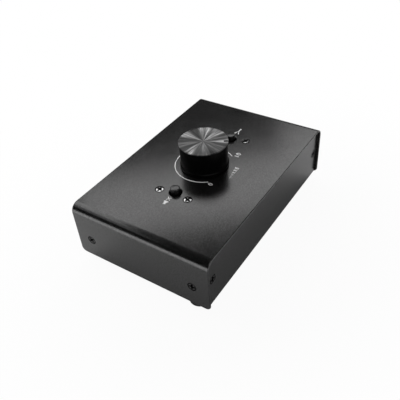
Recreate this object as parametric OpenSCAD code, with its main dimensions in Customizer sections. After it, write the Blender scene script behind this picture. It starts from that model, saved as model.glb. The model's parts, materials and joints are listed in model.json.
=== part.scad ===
// Passive stereo volume controller: a folded steel case with one large dial and two push buttons.
// Millimetres. X runs along the front from left to right, Y towards the rear, Z up.
// The origin lies on the surface that the feet stand on, under the middle of the case.

/* [Case] */
// Width over the cover's two end flanges
case_w = 150; // [146:1:190]
// Depth of the cover, front to rear
case_d = 99; // [96:1:140]
// Height of the cover, from the flanges' lower edge to the top face
case_h = 38.3; // [36.5:0.1:60]
// Thickness of the cover's and the tray's sheet
sheet_t = 1.2; // [0.8:0.1:1.6]
// Outer radius of the cover's two bends
cover_bend_r = 5.8; // [3:0.1:8]
// Radius of the lower corners of the cover's flanges
flange_corner_r = 3.5; // [1:0.1:6]
// How far the front and rear panels sit behind the cover's edges
panel_recess = 1.9; // [1.8:0.1:5]
// Inner radius of the tray's two bends
tray_bend_r = 0.5; // [0.3:0.1:3]
// Play between the cover and the tray inside it
cover_play = 0.3; // [0.1:0.05:0.6]
// How far the tray's underside hangs below the flanges
tray_drop = 0.2; // [0:0.1:1]

/* [Screws and nuts] */
// Thread diameter of the machine screws
screw_d = 3; // [2.5:0.1:3.5]
// Diameter of a countersunk head
screw_head_d = 5.5; // [5:0.1:6]
// Diameter of a countersink at the sheet's face
sink_d = 6.1; // [5.9:0.1:7]
// How far a countersunk head's rim lies below the sheet's face
head_sink = 0.12; // [0.02:0.02:0.14]
// Rise of the domed heads on the top face
head_dome = 0.5; // [0.2:0.1:0.8]
// Diameter of a pan head
pan_head_d = 5.6; // [5:0.1:6]
// Height of a pan head
pan_head_h = 1.8; // [1.6:0.1:2.4]
// Length of the arms of a cross recess, tip to tip
cross_l = 3.1; // [2.4:0.1:3.6]
// Width of the arms of a cross recess
cross_w = 0.75; // [0.5:0.05:1]
// Depth of a cross recess
cross_depth = 1; // [0.6:0.1:1.2]
// Length of the screws through sheet, brackets and standoffs
short_screw_l = 6; // [5:0.5:8]
// Length of the screws that hold the connectors
connector_screw_l = 7; // [6:0.5:10]
// Nut size across flats
nut_af = 5.5; // [5:0.1:6]
// Nut height
nut_h = 2.4; // [2:0.1:3]
// Radial play of a thread in its tapped hole
thread_play = 0.05; // [0.02:0.01:0.1]
// Radial play of a screw in a plain hole
hole_play = 0.2; // [0.1:0.05:0.4]

/* [Corner brackets] */
// Leg of a bracket along its panel
bracket_leg_x = 11; // [9:0.5:12]
// Leg of a bracket along its end flange
bracket_leg_y = 16; // [14:0.5:22]
// Height of a bracket
bracket_h = 18; // [14:0.5:24]
// Thickness of a bracket
bracket_t = 1.5; // [1:0.1:2]
// Height of the end screws above the flanges' lower edge
end_screw_z = 14.5; // [12:0.1:18]
// Distance of the end screws behind the panels' outer faces
end_screw_inset = 9.8; // [7:0.1:12]
// Height of the panel screws above the flanges' lower edge
panel_screw_z = 19.7; // [18:0.1:24]
// Distance of the panel screws from the case's ends
panel_screw_inset = 7; // [6:0.1:9]

/* [Feet] */
// Diameter of a rubber foot at its top
foot_d = 14; // [12:0.5:17]
// Height of a rubber foot
foot_h = 5; // [4.5:0.1:10]
// How much narrower a foot's radius is at the floor
foot_taper = 0.4; // [0.2:0.1:2]
// Distance of the front feet's middles from the case's ends
front_foot_inset_x = 8.5; // [8:0.5:20]
// Distance of the rear feet's middles from the case's ends
rear_foot_inset_x = 11; // [8:0.5:20]
// Distance of a foot's middle from the cover's front or rear edge
foot_inset_y = 12.9; // [11:0.1:20]
// Diameter of the recess for the screw's head
foot_recess_d = 7.2; // [6.6:0.1:9]
// Depth of the recess for the screw's head
foot_recess_h = 2.6; // [2.2:0.1:3.5]

/* [Knob] */
// Diameter of the knob's cap and skirt
knob_d = 32; // [28:0.5:36]
// Height of the knob with its cap
knob_h = 17.4; // [15:0.1:24]
// Gap between the knob and the top face
knob_gap = 0.6; // [0.4:0.1:1.5]
// Diameter of the knob's side
knob_side_d = 30.9; // [27:0.1:31.5]
// Height of the knob's skirt
skirt_h = 2; // [1:0.1:4]
// Slope at the skirt's upper edge
skirt_slope = 0.5; // [0.2:0.1:1]
// Chamfer at the knob's lower edge
knob_edge = 0.3; // [0.1:0.1:0.6]
// Wall of the knob's side
knob_wall = 2.2; // [1.5:0.1:3]
// Roof of the knob under the cap
knob_roof = 2.4; // [1.5:0.1:4]
// Diameter of the hub on the shaft
hub_d = 11; // [10:0.5:14]
// Thickness of the metal cap
cap_t = 0.8; // [0.5:0.1:1.5]
// Chamfer round the metal cap
cap_edge = 0.25; // [0.1:0.05:0.4]
// Length of the index notch
index_l = 2.5; // [1:0.1:6]
// Width of the index notch
index_w = 0.9; // [0.4:0.1:2]
// Direction of the index at rest, from +X towards +Y
index_angle = -63; // [-63:1:237]
// Diameter of the grub screw
grub_d = 3; // [2.5:0.5:4]
// Length of the grub screw
grub_l = 4; // [3:0.5:6]
// Size of the grub screw's hexagon socket
grub_socket_af = 1.5; // [1.2:0.1:2]

/* [Potentiometer] */
// Diameter of the shaft
shaft_d = 6; // [5:0.1:6.5]
// Radial play of the shaft in the bush
shaft_play = 0.05; // [0.02:0.01:0.09]
// Radial play of what is pressed on the shaft or on a plunger
press_play = 0.03; // [0.01:0.01:0.05]
// Depth of the flat on the shaft
shaft_flat = 0.5; // [0.3:0.1:1]
// Diameter of the threaded bush
bush_d = 9; // [8:0.1:9.5]
// Length of the bush above its mounting plate
bush_h = 6; // [5.5:0.1:8]
// Bush nut size across flats
bush_nut_af = 13; // [12:0.5:14]
// Height of the bush nut
bush_nut_h = 2.2; // [1.5:0.1:2.4]
// Diameter of the bush washer
washer_d = 15; // [13:0.5:17]
// Thickness of the bush washer
washer_t = 0.6; // [0.4:0.1:0.8]
// Diameter of the potentiometer
pot_d = 24; // [22:0.5:28]
// Thickness of the mounting plate
pot_plate_t = 1.2; // [1:0.1:2]
// Diameter of the locating lug
lug_d = 2.4; // [1.6:0.1:3]
// Distance of the locating lug from the shaft's axis
lug_r = 9; // [8.5:0.1:9.8]
// Height of the locating lug
lug_h = 0.6; // [0.4:0.1:0.8]
// Thickness of a track board
track_t = 1.2; // [1:0.1:2]
// Height of one can
can_h = 7; // [6:0.1:9]
// Wall of a can
can_wall = 0.5; // [0.4:0.1:1]
// Floor of a can
can_floor = 0.8; // [0.6:0.1:1.2]
// Diameter of a wiper rotor
wiper_d = 19; // [15:0.5:20]
// Thickness of a wiper rotor
wiper_t = 1.6; // [1:0.1:2.4]
// Height of the contact on a wiper rotor
wiper_contact_h = 1.4; // [0.8:0.1:2]
// Diameter of the contact on a wiper rotor
wiper_contact_d = 1.6; // [1:0.1:2.4]
// Running gap round the turning pieces
run_gap = 0.3; // [0.2:0.05:0.5]
// Width of a track board's tongue
tongue_w = 15; // [12:0.5:18]
// Length of a track board's tongue beyond the can
tongue_l = 5.5; // [4:0.1:8]
// Width of a solder tag
tag_w = 1.6; // [1:0.1:2.4]
// Thickness of a solder tag
tag_t = 0.4; // [0.3:0.1:0.6]
// Length of a solder tag beyond its tongue
tag_l = 5; // [4:0.1:7]
// Spacing of the solder tags
tag_pitch = 5; // [4:0.1:5.5]

/* [Buttons] */
// Distance of the buttons from the shaft's axis
button_x = 33.3; // [32:0.1:40]
// Diameter of a button
button_d = 6.2; // [5:0.1:7]
// How far a button stands out of the top face
button_proud = 3.7; // [3:0.1:6]
// Travel of a button
button_travel = 2.5; // [1.5:0.1:2.6]
// Radius of a button's upper edge
button_edge_r = 0.9; // [0.2:0.1:1.5]
// Radius of the dome on a button
button_dome_r = 14; // [8:0.5:40]
// Thickness of a button above its plunger
button_roof = 1.7; // [1.5:0.1:2.4]
// Diameter of the holes for the buttons
button_hole_d = 8; // [7.4:0.1:9]
// Width of the square plunger
plunger_w = 3.2; // [2.6:0.1:3.4]
// Play round the plunger in the switch case
plunger_play = 0.2; // [0.1:0.05:0.4]
// Width of the plunger's collar
collar_w = 5.8; // [5:0.1:6]
// Thickness of the plunger's collar
collar_t = 1.2; // [0.8:0.1:1.6]
// Diameter of the plunger's round tail
tail_d = 2.8; // [2:0.1:3]
// Mean diameter of the return spring
spring_d = 4.4; // [4:0.1:5]
// Wire of the return spring
spring_wire = 0.4; // [0.3:0.05:0.5]
// Turns of the return spring
spring_turns = 4; // [3:1:5]

/* [Switches] */
// Distance of the switch screws from the shaft's axis
switch_screw_x = 35.6; // [35:0.1:43]
// Distance of the switch screws in front of and behind the buttons
switch_screw_y = 10.5; // [9.5:0.1:12]
// Width of a switch case
switch_w = 8.4; // [8:0.1:9]
// Height of a switch case
switch_h = 9; // [8.6:0.1:9.2]
// Wall, floor and roof of a switch case
switch_wall = 1; // [0.8:0.1:1.1]
// Height of the standoffs
standoff_h = 14; // [13.5:0.1:16]
// Width of a circuit board
board_w = 12; // [11:0.5:14]
// Length of a circuit board
board_l = 27; // [26:0.5:30]
// Thickness of a circuit board
board_t = 1.6; // [1:0.1:2]
// Diameter of a switch pin
switch_pin_d = 0.8; // [0.5:0.1:1]
// How far a switch pin stands out under its board
switch_pin_l = 1.5; // [1:0.1:2]
// Spacing of the switch pins
switch_pin_pitch = 2.5; // [2:0.1:2.8]

/* [Connectors] */
// Width of a connector's flange
plate_w = 26; // [25:0.5:27]
// Height of a connector's flange
plate_h = 31; // [29:0.5:32]
// Thickness of a connector's flange
plate_t = 1.6; // [1.4:0.1:1.7]
// Corner radius of a connector's flange
plate_r = 3; // [1:0.5:4]
// Diameter of a connector's barrel
barrel_d = 23.6; // [23:0.1:24]
// Play round the barrel in the rear panel
barrel_play = 0.2; // [0.1:0.05:0.5]
// Bore of a connector's shell
shell_bore_d = 19.2; // [18.6:0.1:20]
// How far an output shell reaches behind the panel's outer face
output_depth = 20; // [19:0.5:24]
// How far an input shell reaches behind the panel's outer face
input_depth = 20; // [19:0.5:24]
// Spacing of a connector's two screws along X
connector_screw_x = 19; // [18.6:0.1:19.4]
// Spacing of a connector's two screws along Z
connector_screw_z = 24; // [23.6:0.1:24.4]
// Width of the keyway in an output shell
keyway_w = 3; // [2:0.1:4]
// Depth of the keyway in an output shell
keyway_depth = 1; // [0.5:0.1:1.4]
// Depth of an output socket, from the flange's face to its insert
socket_depth = 15; // [13:0.1:16]
// Thickness of an output's insert
insert_t = 5; // [4:0.1:6]
// Diameter of an output's pins
pin_d = 2.4; // [2.2:0.1:2.6]
// How far the pins stand in the socket
pin_l = 11; // [9:0.1:12]
// Length of the pins' solder ends
pin_tail_l = 4; // [3:0.1:6]
// Distance of pins and contacts from the connector's axis
pin_circle_r = 5.4; // [5.3:0.1:5.8]
// Diameter of an input's core
core_d = 15.8; // [15.2:0.1:16.2]
// How far an input's core lies behind the flange's face
core_recess = 0.5; // [0.2:0.1:1]
// Thickness of the collar that seats the core in its shell
core_collar_t = 6; // [4:0.1:8]
// Bore for the jack plug
jack_d = 6.5; // [6.4:0.05:6.6]
// Depth of the bore for the jack plug, with its flared mouth
jack_depth = 31; // [30:0.1:33]
// Diameter of the flared mouth at the core's face
jack_mouth_d = 7.4; // [6.8:0.1:7.6]
// Depth of the flared mouth
jack_mouth_l = 2.5; // [2.4:0.1:4]
// Thickness behind the jack bore
core_back_t = 1.5; // [1:0.1:2]
// Diameter of the holes for the contacts
contact_hole_d = 2.7; // [2.5:0.1:3]
// Depth of the holes in front of the contacts
contact_depth = 13; // [11:0.1:14]
// Length of the contacts inside the core
contact_l = 17; // [15:0.1:18]
// Length of the contacts' solder ends
contact_tail_l = 3; // [2:0.1:3.5]
// Diameter of the contacts' solder ends
contact_tail_d = 1.2; // [0.8:0.1:2]

/* [Leads] */
// Diameter of an inner lead
lead_d = 2.6; // [2:0.1:3]
// How far the leads hang below the circuit boards
lead_drop = 7; // [5:0.5:8]
// How far a lead runs straight out of a board, tag or connector
lead_straight = 2.5; // [2:0.1:3]

/* [Hidden] */
$fn = 72;
// Extra length of a cut beyond the face that it leaves through
over = 1;
// Sides of a round lead and of the spring's wire, and steps of a lead between two of its points
lead_sides = 8;
wire_sides = 6;
lead_steps = 4;
// Rings of a spring's wire in one turn
turn_steps = 12;
// Radii of a tapped hole and of a plain hole for the machine screws
tap_r = screw_d / 2 + thread_play;
clear_r = screw_d / 2 + hole_play;

// Heights of the case
flange_z = foot_h + tray_drop;
top_z = flange_z + case_h;
under_z = top_z - sheet_t;
panel_top_z = under_z - cover_play;
floor_z = foot_h + sheet_t;
// Outer and inner faces of the panels, inner face of the end flanges, ends of the tray
panel_y = case_d / 2 - panel_recess;
panel_in_y = panel_y - sheet_t;
flange_in_x = case_w / 2 - sheet_t;
tray_x = flange_in_x - cover_play;
// Places of the case's screws and feet
end_screw_y = panel_y - end_screw_inset;
panel_screw_x = case_w / 2 - panel_screw_inset;
bracket_z = flange_z + (end_screw_z + panel_screw_z) / 2 - bracket_h / 2;
function foot_x(sy) = case_w / 2 - (sy < 0 ? front_foot_inset_x : rear_foot_inset_x);
foot_y = case_d / 2 - foot_inset_y;

// Knob, measured from its own lower edge
knob_z = top_z + knob_gap;
knob_body_h = knob_h - cap_t;
knob_inner_r = knob_side_d / 2 - knob_wall;
hub_z = under_z + bush_h + run_gap - knob_z;
knob_roof_z = knob_body_h - knob_roof;
grub_z = (hub_z + knob_roof_z) / 2;
grub_angle = index_angle + 180;
flat_r = shaft_d / 2 - shaft_flat;

// Potentiometer stack, from the cover downwards
pot_plate_z = under_z - pot_plate_t;
front_track_z = pot_plate_z - track_t;
front_can_z = front_track_z - can_h;
rear_track_z = front_can_z - track_t;
rear_can_z = rear_track_z - can_h;
shaft_hole_r = shaft_d / 2 + run_gap;
shaft_top_z = knob_z + knob_roof_z;
shaft_bottom_z = rear_can_z + can_floor + run_gap;
tag_end_y = pot_d / 2 + tongue_l + tag_l;

// Switches, from the cover downwards
board_top_z = under_z - standoff_h;
board_z = board_top_z - board_t;
board_x = (button_x + switch_screw_x) / 2;
switch_top_z = board_top_z + switch_h;
switch_floor_z = board_top_z + switch_wall;
collar_top_z = switch_top_z - switch_wall - plunger_play;
collar_z = collar_top_z - collar_t;
tail_z = switch_floor_z + button_travel + run_gap;
button_top_z = top_z + button_proud;
button_z = switch_top_z + button_travel + run_gap;
plunger_top_z = button_top_z - button_roof - press_play;

// Connectors share the width between the brackets evenly
connector_z = (foot_h + panel_top_z) / 2;
connector_pitch = (flange_in_x - bracket_leg_x) / 2;
plate_face_y = panel_y + plate_t;
insert_front_y = plate_face_y - socket_depth;
insert_back_y = insert_front_y - insert_t;
core_face_y = plate_face_y - core_recess;
core_back_y = core_face_y - jack_depth - core_back_t;
collar_back_y = panel_y - input_depth;
insert_r = shell_bore_d / 2 - press_play;
pin_angles = [20, 160, 270];

// Sides: -1 is left or front, 1 is right or rear
sides = [-1, 1];
// Distances of the connectors from the middle: inputs lie at the right, outputs at the left
inner_x = connector_pitch / 2;
outer_x = 3 * inner_x;

// General shapes

// Upright rectangle from the base line, with both upper corners rounded
module arched_outline(w, h, r) {
    translate([-w / 2, 0]) square([w, h - r]);
    translate([r - w / 2, 0]) square([w - 2 * r, h]);
    for (s = sides) translate([s * (w / 2 - r), h - r]) circle(r);
}

// Extrusions of an X-Z outline along Y, and of a Y-Z outline along X, about the middle
module along_y(l) rotate([90, 0, 0]) linear_extrude(l, center = true) children();
module along_x(l) rotate([90, 0, 90]) linear_extrude(l, center = true) children();

// Turns a shape that points up to point outwards at one of the four walls
module facing_x(s) rotate([0, s * 90, 0]) children();
module facing_y(s) rotate([-s * 90, 0, 0]) children();

// Cut for a countersunk screw whose head points up, from the face downwards
module sink_cut(hole_r, depth) {
    cone_h = sink_d / 2 - hole_r;
    translate([0, 0, -cone_h]) cylinder(h = cone_h, r1 = hole_r, r2 = sink_d / 2);
    translate([0, 0, -depth]) cylinder(h = depth, r = hole_r);
    cylinder(h = over, r = sink_d / 2);
}

// Cross recess, cut down from the top of a head
module cross_cut() {
    for (a = [0, 90]) rotate(a) translate([-cross_l / 2, -cross_w / 2, -cross_depth])
        cube([cross_l, cross_w, cross_depth + over]);
}

// Countersunk screw with its head up and its rim a little below the face
module sunk_screw(l, dome = 0) {
    r = screw_d / 2;
    head_r = screw_head_d / 2;
    dome_r = dome > 0 ? (head_r * head_r + dome * dome) / (2 * dome) : head_r;
    translate([0, 0, -head_sink]) difference() {
        rotate_extrude() {
            polygon([[0, 0], [head_r, 0], [r, r - head_r], [r, -l], [0, -l]]);
            if (dome > 0) intersection() {
                translate([0, dome - dome_r]) circle(dome_r);
                square([head_r, dome]);
            }
        }
        translate([0, 0, dome]) cross_cut();
    }
}

// Pan-head screw with its head up and its shank below the head's seat
module pan_screw(l) {
    difference() {
        union() {
            cylinder(h = pan_head_h, d = pan_head_d);
            translate([0, 0, -l]) cylinder(h = l + pan_head_h / 2, d = screw_d);
        }
        translate([0, 0, pan_head_h]) cross_cut();
    }
}

// Hexagon bar with a bore, standing on the base plane
module hex_bar(af, h, bore_r) {
    difference() {
        cylinder(h = h, d = af / cos(30), $fn = 6);
        translate([0, 0, -over]) cylinder(h = h + 2 * over, r = bore_r);
    }
}

// Smooth curve through a list of points, with a number of steps between two of them
function curve_at(a, b, c, d, t) =
    (2 * b + (c - a) * t + (2 * a - 5 * b + 4 * c - d) * t * t + (3 * b - a - 3 * c + d) * t * t * t) / 2;
function curve(p, steps) = [
    for (i = [0:len(p) - 2], k = [0:steps - 1])
        curve_at(p[max(i - 1, 0)], p[i], p[i + 1], p[min(i + 2, len(p) - 1)], k / steps),
    p[len(p) - 1]
];
function unit(v) = v / norm(v);
function tangent(p, i) = unit(p[min(i + 1, len(p) - 1)] - p[max(i - 1, 0)]);
// Carries a normal along the path without twist
function carried(n, t) = unit(n - t * (n * t));

// Round tube along a path, from a first normal that isn't along the path's start
module tube(p, d, normal, side_count) {
    n = len(p);
    normals = [for (i = 0, v = carried(normal, tangent(p, 0)); i < n;
        i = i + 1, v = carried(v, tangent(p, min(i, n - 1)))) v];
    rings = [for (i = [0:n - 1], k = [0:side_count - 1])
        let (t = tangent(p, i), u = carried(normals[i], t), w = cross(t, u), a = 360 * k / side_count)
        p[i] + d / 2 * (u * cos(a) + w * sin(a))];
    walls = [for (i = [0:n - 2], k = [0:side_count - 1], half = [0, 1])
        let (a = i * side_count + k, b = i * side_count + (k + 1) % side_count)
        half == 0 ? [a, a + side_count, b] : [b, a + side_count, b + side_count]];
    first = [for (k = [0:side_count - 1]) k];
    last = [for (k = [side_count - 1:-1:0]) (n - 1) * side_count + k];
    polyhedron(rings, concat(walls, [first], [last]), convexity = 6);
}

// Case

module at_top_screws() for (sx = sides, sy = sides)
    translate([sx * switch_screw_x, sy * switch_screw_y, top_z]) children();

module at_end_screws() for (sx = sides, sy = sides)
    translate([sx * case_w / 2, sy * end_screw_y, flange_z + end_screw_z]) facing_x(sx) children();

module at_panel_screws() for (sx = sides, sy = sides)
    translate([sx * panel_screw_x, sy * panel_y, flange_z + panel_screw_z]) facing_y(sy) children();

module at_feet() for (sx = sides, sy = sides) translate([sx * foot_x(sy), sy * foot_y, 0]) children();

module top_cover() color("#2b2b2c") difference() {
    intersection() {
        translate([0, 0, flange_z]) along_y(case_d) difference() {
            arched_outline(case_w, case_h, cover_bend_r);
            translate([0, -over])
                arched_outline(2 * flange_in_x, case_h - sheet_t + over, cover_bend_r - sheet_t);
        }
        translate([0, 0, top_z + over]) mirror([0, 0, 1]) along_x(case_w + over)
            arched_outline(case_d, case_h + over, flange_corner_r);
    }
    translate([0, 0, under_z - over]) cylinder(h = sheet_t + 2 * over, r = bush_d / 2 + hole_play);
    translate([0, lug_r, under_z - over]) cylinder(h = sheet_t + 2 * over, r = lug_d / 2 + hole_play);
    for (s = sides) translate([s * button_x, 0, under_z - over])
        cylinder(h = sheet_t + 2 * over, d = button_hole_d);
    at_top_screws() sink_cut(clear_r, sheet_t + over);
    at_end_screws() sink_cut(clear_r, sheet_t + over);
}

module base_tray() color("#29292a") difference() {
    intersection() {
        translate([0, 0, panel_top_z]) mirror([0, 0, 1]) along_x(2 * tray_x) difference() {
            arched_outline(2 * panel_y, panel_top_z - foot_h, tray_bend_r + sheet_t);
            translate([0, -over])
                arched_outline(2 * panel_in_y, panel_top_z - floor_z + over, tray_bend_r);
        }
        translate([0, 0, foot_h - over]) along_y(case_d)
            arched_outline(2 * tray_x, panel_top_z - foot_h + over, cover_bend_r - sheet_t - cover_play);
    }
    at_panel_screws() sink_cut(clear_r, sheet_t + over);
    at_feet() translate([0, 0, foot_h - over]) cylinder(h = sheet_t + 2 * over, r = clear_r);
    at_connectors() {
        translate([0, 0, -sheet_t - over]) cylinder(h = sheet_t + 2 * over, r = barrel_d / 2 + barrel_play);
        at_connector_screws() translate([0, 0, -sheet_t - over])
            cylinder(h = sheet_t + 2 * over, r = clear_r);
    }
}

// Angle in one corner of the case, tapped for one panel screw and one end screw
module corner_bracket(sx, sy) color("#8d9096") difference() {
    translate([0, 0, bracket_z]) linear_extrude(bracket_h)
        into_corner(sx, sy) {
            translate([flange_in_x - bracket_leg_x, panel_in_y - bracket_t])
                square([bracket_leg_x, bracket_t]);
            translate([flange_in_x - bracket_t, panel_in_y - bracket_leg_y])
                square([bracket_t, bracket_leg_y]);
        }
    at_panel_screws() sink_cut(tap_r, short_screw_l);
    at_end_screws() sink_cut(tap_r, short_screw_l);
}

// Mirrors an outline into the corner that the two signs name
module into_corner(sx, sy) mirror([sx < 0 ? 1 : 0, 0]) mirror([0, sy < 0 ? 1 : 0]) children();

module front_left_bracket() corner_bracket(-1, -1);
module front_right_bracket() corner_bracket(1, -1);
module rear_left_bracket() corner_bracket(-1, 1);
module rear_right_bracket() corner_bracket(1, 1);

module end_screws() color("#1a1a1b") at_end_screws() sunk_screw(short_screw_l);
module panel_screws() color("#1a1a1b") at_panel_screws() sunk_screw(short_screw_l);

module rubber_foot(sx, sy) color("#161616") translate([sx * foot_x(sy), sy * foot_y, 0]) difference() {
    rotate_extrude() polygon([
        [0, 0], [foot_d / 2 - 2 * foot_taper, 0], [foot_d / 2 - foot_taper, foot_taper],
        [foot_d / 2, foot_h], [0, foot_h]
    ]);
    translate([0, 0, -over]) cylinder(h = foot_h + 2 * over, r = clear_r);
    translate([0, 0, -over]) cylinder(h = foot_recess_h + over, d = foot_recess_d);
}

module front_left_foot() rubber_foot(-1, -1);
module front_right_foot() rubber_foot(1, -1);
module rear_left_foot() rubber_foot(-1, 1);
module rear_right_foot() rubber_foot(1, 1);

module foot_screws() color("#b4b6ba") at_feet() translate([0, 0, foot_recess_h]) mirror([0, 0, 1])
    pan_screw(foot_h - foot_recess_h + sheet_t + nut_h);
module foot_nuts() color("#b4b6ba") at_feet() translate([0, 0, floor_z]) hex_bar(nut_af, nut_h, tap_r);

// Knob

module knob_body() color("#0e0e0f") translate([0, 0, knob_z]) difference() {
    rotate_extrude() difference() {
        polygon([
            [0, 0], [knob_d / 2 - knob_edge, 0], [knob_d / 2, knob_edge], [knob_d / 2, skirt_h - skirt_slope],
            [knob_side_d / 2, skirt_h], [knob_side_d / 2, knob_body_h], [0, knob_body_h]
        ]);
        translate([-over, -over]) square([knob_inner_r + over, hub_z + over]);
        translate([hub_d / 2, 0]) square([knob_inner_r - hub_d / 2, knob_roof_z]);
        translate([-over, 0]) square([shaft_d / 2 + press_play + over, knob_roof_z]);
    }
    translate([0, 0, grub_z]) rotate(grub_angle) facing_x(1)
        cylinder(h = knob_d, r = grub_d / 2 + thread_play);
}

module knob_cap() color("#c9cacc") translate([0, 0, knob_z + knob_body_h]) difference() {
    rotate_extrude() polygon([
        [0, 0], [knob_d / 2, 0], [knob_d / 2, cap_t - cap_edge], [knob_d / 2 - cap_edge, cap_t], [0, cap_t]
    ]);
    rotate(index_angle) translate([knob_d / 2 - index_l, -index_w / 2, -over])
        cube([index_l + over, index_w, cap_t + 2 * over]);
}

module knob_grub_screw() color("#3a3a3c") translate([0, 0, knob_z + grub_z]) rotate(grub_angle)
    translate([flat_r + press_play, 0, 0]) facing_x(1) difference() {
        cylinder(h = grub_l, d = grub_d);
        translate([0, 0, grub_l / 2]) cylinder(h = grub_l, d = grub_socket_af / cos(30), $fn = 6);
    }

// Potentiometer

module pot_shaft() color("#b9babd") difference() {
    translate([0, 0, shaft_bottom_z]) cylinder(h = shaft_top_z - shaft_bottom_z, d = shaft_d);
    rotate(grub_angle) translate([flat_r, -shaft_d / 2, knob_z + hub_z])
        cube([shaft_d, shaft_d, shaft_top_z]);
}

module pot_bush() color("#c2a65a") difference() {
    union() {
        translate([0, 0, pot_plate_z]) cylinder(h = pot_plate_t, d = pot_d);
        translate([0, 0, pot_plate_z]) cylinder(h = pot_plate_t + bush_h, d = bush_d);
        translate([0, lug_r, pot_plate_z]) cylinder(h = pot_plate_t + lug_h, d = lug_d);
    }
    translate([0, 0, pot_plate_z - over])
        cylinder(h = pot_plate_t + bush_h + 2 * over, r = shaft_d / 2 + shaft_play);
}

module pot_washer() color("#b4b6ba") translate([0, 0, top_z]) difference() {
    cylinder(h = washer_t, d = washer_d);
    translate([0, 0, -over]) cylinder(h = washer_t + 2 * over, r = bush_d / 2 + hole_play);
}

module pot_nut() color("#b4b6ba") translate([0, 0, top_z + washer_t])
    hex_bar(bush_nut_af, bush_nut_h, bush_d / 2 + thread_play);

// Resistance track on its board, with a tongue for the tags
module track_board(z) color("#7a4a21") translate([0, 0, z]) difference() {
    union() {
        cylinder(h = track_t, d = pot_d);
        translate([-tongue_w / 2, -pot_d / 2 - tongue_l, 0]) cube([tongue_w, pot_d / 2 + tongue_l, track_t]);
    }
    translate([0, 0, -over]) cylinder(h = track_t + 2 * over, r = shaft_hole_r);
}

// Cup round one wiper, open towards its track
module can(z) color("#aeb0b3") translate([0, 0, z]) difference() {
    cylinder(h = can_h, d = pot_d);
    translate([0, 0, can_floor]) cylinder(h = can_h, d = pot_d - 2 * can_wall);
    translate([0, 0, -over]) cylinder(h = can_h, r = shaft_hole_r);
}

// Rotor pressed on the shaft, with one contact near the track's edge and one near its middle
module wiper(track_z) color("#d0c8b4") translate([0, 0, track_z - run_gap - wiper_contact_h]) difference() {
    union() {
        translate([0, 0, -wiper_t]) cylinder(h = wiper_t, d = wiper_d);
        for (r = [shaft_d / 2 + wiper_contact_d, wiper_d / 2 - wiper_contact_d])
            rotate(index_angle) translate([r, 0, -wiper_t / 2])
                cylinder(h = wiper_contact_h + wiper_t / 2, d = wiper_contact_d);
    }
    translate([0, 0, -wiper_t - over]) cylinder(h = wiper_t + 2 * over, r = shaft_d / 2 + press_play);
}

module pot_front_track() track_board(front_track_z);
module pot_front_can() can(front_can_z);
module pot_front_wiper() wiper(front_track_z);
module pot_rear_track() track_board(rear_track_z);
module pot_rear_can() can(rear_can_z);
module pot_rear_wiper() wiper(rear_track_z);

module pot_tags() color("#d8d8d2") for (z = [front_track_z, rear_track_z], k = [-1, 0, 1])
    translate([k * tag_pitch - tag_w / 2, -tag_end_y, z - tag_t])
        cube([tag_w, tag_end_y - pot_d / 2 - run_gap, tag_t]);

// Buttons and switches

// Cap of a button, on a square plunger
module button(s) color("#121213") translate([s * button_x, 0, button_z]) difference() {
    h = button_top_z - button_z;
    r = button_d / 2;
    rotate_extrude() intersection() {
        union() {
            square([r, h - button_edge_r]);
            square([r - button_edge_r, h]);
            translate([r - button_edge_r, h - button_edge_r]) circle(button_edge_r);
        }
        translate([0, h - button_dome_r]) circle(button_dome_r, $fn = 240);
        square([r, h]);
    }
    square_bar(plunger_w + 2 * press_play, -over, h - button_roof);
}

// Square bar about the Z axis between two heights
module square_bar(w, z0, z1) translate([-w / 2, -w / 2, z0]) cube([w, w, z1 - z0]);

module plunger(s) color("#e4e2da") translate([s * button_x, 0, 0]) {
    square_bar(plunger_w, collar_z, plunger_top_z);
    square_bar(collar_w, collar_z, collar_top_z);
    translate([0, 0, tail_z]) cylinder(h = collar_top_z - tail_z, d = tail_d);
}

// Compression spring between the switch case's floor and the plunger's collar
module return_spring(s) color("#c4c6c8") {
    z0 = switch_floor_z + spring_wire / 2 + press_play;
    z1 = collar_z - spring_wire / 2 - press_play;
    count = spring_turns * turn_steps;
    path = [for (i = [0:count]) let (a = 360 * i / turn_steps)
        [s * button_x + spring_d / 2 * cos(a), spring_d / 2 * sin(a), z0 + (z1 - z0) * i / count]];
    tube(path, spring_wire, [0, 0, 1], wire_sides);
}

module switch_case(s) color("#2f3136") translate([s * button_x, 0, 0]) difference() {
    square_bar(switch_w, board_top_z, switch_top_z);
    square_bar(switch_w - 2 * switch_wall, switch_floor_z, switch_top_z - switch_wall);
    square_bar(plunger_w + 2 * plunger_play, switch_floor_z, switch_top_z + over);
}

// Places of one switch's six pins, from the middle of its button
module at_switch_pins(s) for (kx = sides, ky = [-1, 0, 1])
    translate([s * button_x + kx * switch_pin_pitch, ky * switch_pin_pitch, 0]) children();

module circuit_board(s) color("#1f5a34") difference() {
    translate([s * board_x - board_w / 2, -board_l / 2, board_z]) cube([board_w, board_l, board_t]);
    at_top_screws() translate([0, 0, -top_z]) cylinder(h = top_z, r = clear_r);
    at_switch_pins(s) cylinder(h = top_z, r = switch_pin_d / 2 + thread_play);
}

module mute_button() button(-1);
module mute_plunger() plunger(-1);
module mute_spring() return_spring(-1);
module mute_switch_case() switch_case(-1);
module mute_board() circuit_board(-1);
module mono_button() button(1);
module mono_plunger() plunger(1);
module mono_spring() return_spring(1);
module mono_switch_case() switch_case(1);
module mono_board() circuit_board(1);

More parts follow.
